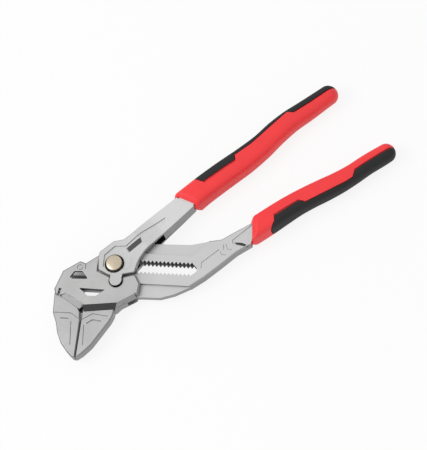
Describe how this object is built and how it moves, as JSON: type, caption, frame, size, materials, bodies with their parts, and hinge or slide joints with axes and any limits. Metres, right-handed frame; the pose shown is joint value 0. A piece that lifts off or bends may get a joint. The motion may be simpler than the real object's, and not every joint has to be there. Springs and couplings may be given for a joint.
{
  "type": "pliers wrench",
  "caption": "Adjustable pliers wrench with smooth parallel jaws, a toothed slot with a push button, and two-tone grips.",
  "frame": {"origin": "middle of the underside of the tool's bounding box, lying flat", "axes": "+X from the jaws to the handle ends, +Z through the tool towards the push button, +Y across the handles towards the lever"},
  "size_m": [0.2534, 0.0896, 0.0183],
  "materials": {
    "satin_steel": "satin",
    "dark_steel": "satin",
    "button_metal": "polished",
    "red_grip": "satin",
    "black_grip": "matte"
  },
  "bodies": {
    "fixed_handle_body": {"fixed_handle": "satin_steel", "lower_grip_sleeve": "red_grip", "lower_grip_inlay": "black_grip"},
    "bolt_body": {"joint_bolt": "dark_steel", "bolt_ring": "dark_steel", "button_spring": "dark_steel"},
    "lever_body": {"lever_handle": "satin_steel", "upper_grip_sleeve": "red_grip", "upper_grip_inlay": "black_grip"},
    "moving_jaw_body": {"moving_jaw": "satin_steel", "cheek_pin": "satin_steel"},
    "button_body": {"push_button": "button_metal", "stem_clip": "dark_steel"}
  },
  "joints": [
    {"name": "bolt_slide", "type": "slide", "parent": "fixed_handle_body", "child": "bolt_body", "axis": [0.6884, -0.7254, 0], "range_m": [0, 0.0351]},
    {"name": "lever_hinge", "type": "hinge", "parent": "bolt_body", "child": "lever_body", "pos_m": [-0.06444, 0.02368, 0.0082], "axis": [0, 0, 1], "range_deg": [-1.6, 20]},
    {"name": "jaw_slide", "type": "slide", "parent": "bolt_body", "child": "moving_jaw_body", "axis": [0.6884, -0.7254, 0], "range_m": [-0.00035, 0.0038]},
    {"name": "button_press", "type": "slide", "parent": "bolt_body", "child": "button_body", "axis": [0, 0, -1], "range_m": [0, 0.0014], "stiffness_N_per_m": 1500, "springref_m": -0.001, "deforming": ["button_spring"]}
  ],
  "couplings": [
    {"joint": "jaw_slide", "follows": "lever_hinge", "m_per_rad": 0.0108}
  ]
}
